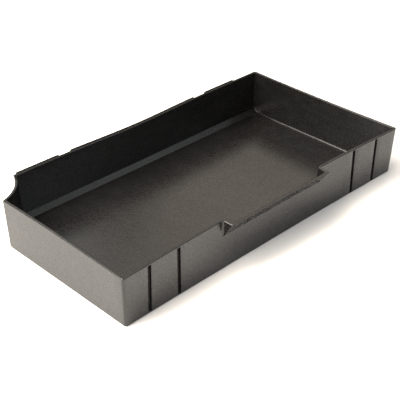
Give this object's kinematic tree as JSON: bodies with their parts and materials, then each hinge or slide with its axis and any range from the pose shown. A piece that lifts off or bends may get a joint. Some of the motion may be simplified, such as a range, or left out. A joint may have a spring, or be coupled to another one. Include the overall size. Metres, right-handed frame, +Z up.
{
  "type": "tool tray",
  "caption": "Shallow open tray moulded in one piece, with drafted walls, a flared finger pull at the front, a pad-backed rear wall and a relieved back corner.",
  "frame": {"origin": "middle of the overall box, on the underside the tray rests on", "axes": "+X along the length, +Y from the finger pull to the back wall, +Z up out of the tray's open top"},
  "size_m": [0.4044, 0.2282, 0.056],
  "materials": {
    "tray": "dark warm grey moulded plastic with a fine grain and a low sheen"
  },
  "bodies": {
    "root": {"tray": "tray"}
  },
  "joints": []
}
